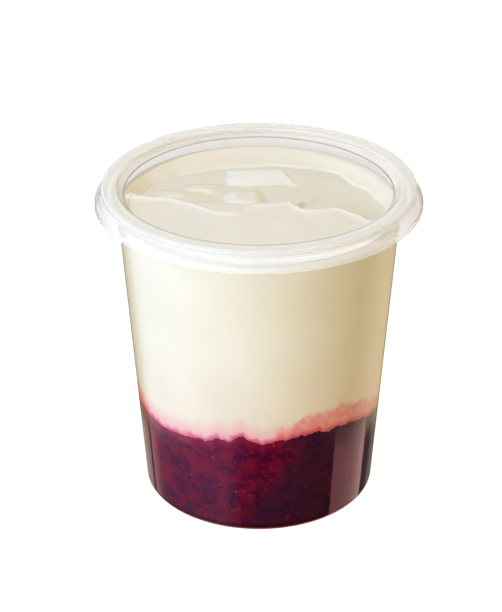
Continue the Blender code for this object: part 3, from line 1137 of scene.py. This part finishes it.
# %% Floor
FLOOR_SIZE = 6  # in metres
FLOOR_SEEN, FLOOR_THROUGH_PLASTIC = (0.9, 0.9, 0.9), (0.70, 0.67, 0.65)
FILL_COLOUR = (0.480, 0.371, 0.225)  # the even light that comes from all round

clear_selection()
bpy.ops.mesh.primitive_plane_add(size=FLOOR_SIZE)
floor = bpy.context.object
floor.name = "floor"
floor_skin, tree, shader = new_material("pale_floor")
path = add(tree, "LightPath").outputs
glow = blend(tree, path["Is Transmission Ray"], FILL_COLOUR, FLOOR_THROUGH_PLASTIC)
glow = blend(tree, path["Is Camera Ray"], glow, FLOOR_SEEN)
fill(tree, shader, {"Base Color": (0.25, 0.25, 0.25, 1), "Roughness": 0.9, "Specular IOR Level": 0.0})
fill(tree, shader, {"Emission Color": glow, "Emission Strength": 1.0})
floor.data.materials.append(floor_skin)
floor.visible_glossy = False
print("floor:", round(floor.dimensions.x, 1), "m wide")

# %% [markdown]
# ## World
# Clear plastic shows mostly what stands round it. In a studio, white and black cards round a glass
# draw its edges; here the cards are painted into the world as two colour ramps, read by the
# direction a mirrored ray takes. Cards as objects would do the same, but would have to be hidden
# from the camera one by one. Light that isn't mirrored comes from one even fill colour.

# %% Cards round the pot
# What the wall mirrors round the pot: direction in degrees from the front, and brightness. The low
# table is mirrored by the compote's part of the wall, and the high one by the custard's.
LOW_CARDS = [
    (-180, (0.15, 0.15, 0.15)), (-165, (0.55, 0.50, 0.38)), (-142, (0.65, 0.56, 0.44)),
    (-140, (0.1, 0.1, 0.1)), (-136, (0.1, 0.1, 0.1)), (-134, (1.0, 0.60, 0.50)),
    (-118, (0.45, 0.20, 0.21)), (-105, (0.30, 0.16, 0.19)), (-34, (0.28, 0.25, 0.34)),
    (-18, (0.03, 0.01, 0.02)), (80.5, (0.03, 0.03, 0.03)), (81.5, (1.70, 0.60, 0.66)),
    (95, (1.45, 0.62, 0.67)), (108, (1.45, 0.72, 0.70)), (128, (2.05, 1.20, 1.00)),
    (131, (0.1, 0.09, 0.09)), (143, (0.1, 0.09, 0.09)), (150, (0.3, 0.27, 0.25)),
    (168, (0.2, 0.18, 0.17)), (180, (0.15, 0.15, 0.15)),
]
HIGH_CARDS = [
    (-180, (0.03, 0.03, 0.02)), (-168, (0.03, 0.03, 0.02)), (-160, (0.35, 0.25, 0.05)),
    (-142, (0.40, 0.30, 0.08)), (-128, (0.80, 0.78, 0.72)), (-118, (0.95, 0.95, 0.9)),
    (-90, (0.7, 0.7, 0.7)), (-45, (0.25, 0.22, 0.3)), (0, (0.06, 0.05, 0.07)),
    (62, (0.03, 0.03, 0.03)), (80, (0.28, 0.22, 0.18)), (98, (0.34, 0.26, 0.16)),
    (112, (0.85, 0.70, 0.55)), (125, (1.15, 0.96, 0.76)), (138, (1.05, 0.88, 0.64)),
    (160, (0.66, 0.56, 0.32)), (168, (0.05, 0.04, 0.03)), (180, (0.03, 0.03, 0.02)),
]
print("cards:", len(LOW_CARDS), "low and", len(HIGH_CARDS), "high")


# %% World
BLACK, WHITE = (0.0, 0.0, 0.0), (1.0, 1.0, 1.0)
SKY_WHITE, PALE_BELOW = (1.0, 1.0, 0.98), (1.0, 0.98, 0.95)


def card_ramp(tree, place_round, table):
    """A colour ramp round the horizon."""
    made = add(tree, "ValToRGB", {"Fac": place_round})
    for i, (angle, colour) in enumerate(table):
        stop = made.color_ramp.elements[i] if i < 2 else made.color_ramp.elements.new(1.0)
        stop.position = (angle + 180) / 360
        stop.color = (*colour, 1)
    return made.outputs["Color"]


def mirrored_cards(tree, way):
    """The cards that a ray meets after the wall has mirrored it.

    The view looks down, so a ray leaves the foot of the wall more steeply than its top. Where it
    leaves at the layer line, its Z also depends on its turn round the pot, and `steeper` allows for
    that. The low cards lie below that Z and the high ones above it.
    """
    place_round = sum_up(tree, "MULTIPLY_ADD", turn_round(tree, way), 0.5 / math.pi, 0.5)
    facing = sum_up(tree, "MAXIMUM", sum_up(tree, "MULTIPLY_ADD", way["Y"], -0.565, 0.5), 0.0)
    steeper = sum_up(tree, "SQRT", facing)
    zone = ramp(tree, sum_up(tree, "MULTIPLY_ADD", steeper, 0.1535, way["Z"]), -0.505, -0.490)
    low, high = (card_ramp(tree, place_round, table) for table in (LOW_CARDS, HIGH_CARDS))
    return blend(tree, zone, low, high)


def bright_strip(tree, way):
    """A strip of light overhead, stronger at the left, that the custard's top mirrors."""
    strip = times(tree, ramp(tree, way["Z"], 0.48, 0.53), ramp(tree, way["Z"], 0.80, 0.72))
    strip = times(tree, strip, ramp(tree, way["X"], 0.06, -0.10, 0.3, 2.2))
    return blend(tree, strip, BLACK, WHITE)


world = bpy.data.worlds.new("studio")
bpy.context.scene.world = world
world.use_nodes = True
tree = world.node_tree
way = parts(tree, add(tree, "TexCoord").outputs["Generated"])
sky = blend(tree, ramp(tree, way["X"], 0.5, -0.8, 0.34, 0.85), BLACK, SKY_WHITE)
gloss = blend(tree, ramp(tree, way["Z"], -0.25, 0.0), mirrored_cards(tree, way), sky)
overhead = blend(tree, 1.0, sky, bright_strip(tree, way), "ADD")
through_lid = blend(tree, ramp(tree, way["Z"], 0.20, 0.30), PALE_BELOW, overhead)
path = add(tree, "LightPath").outputs
seen = blend(tree, path["Is Glossy Ray"], FILL_COLOUR, gloss)
seen = blend(tree, path["Is Transmission Ray"], seen, through_lid)
seen = blend(tree, path["Is Camera Ray"], seen, WHITE)
fill(tree, tree.nodes["Background"], {"Color": seen})
print("world nodes:", len(tree.nodes))

# %% [markdown]
# ## Lamps
# Large soft lamps give the food its shape: a warm one and a cool one from the left, side by side,
# so that the bright side is neutral and turns warm towards the shade, a faint one from above, and
# a low one that keeps the back from going brown. They aren't mirrored, as the cards do that.

# %% Lamps
LAMP_AIM = Vector((0, 0, 0.06))
# Name, azimuth and elevation in degrees, distance and size in metres, watts, and colour.
LAMPS = (
    ("key_left", -37, 30, 0.8, (0.45, 0.45), 4.4, (1.0, 0.95, 0.45)),
    ("cool_left", -49, 30, 0.8, (0.45, 0.45), 6.5, (0.0, 0.25, 1.0)),
    ("top_soft", 118, 68, 0.7, (0.4, 0.4), 1.5, (0.92, 0.87, 0.66)),
    ("back_soft", 180, 1, 1.0, (0.5, 0.1), 7.5, (0.56, 0.71, 1.0)),
)


def softbox(name, azimuth, elevation, distance, size, power, colour):
    data = bpy.data.lights.new(name, "AREA")
    data.shape = "RECTANGLE"
    data.size, data.size_y = size
    data.energy = power
    data.color = colour
    lamp = add_object(name, data)
    a, e = math.radians(azimuth), math.radians(elevation)
    away = Vector((math.sin(a) * math.cos(e), -math.cos(a) * math.cos(e), math.sin(e)))
    lamp.location = LAMP_AIM + away * distance
    lamp.rotation_euler = away.to_track_quat("Z", "Y").to_euler()
    lamp.visible_glossy = False
    lamp.visible_transmission = False
    return lamp


lamps = [softbox(*values) for values in LAMPS]
bpy.context.scene.view_settings.view_transform = "Standard"
print("lamps:", [lamp.name for lamp in lamps])
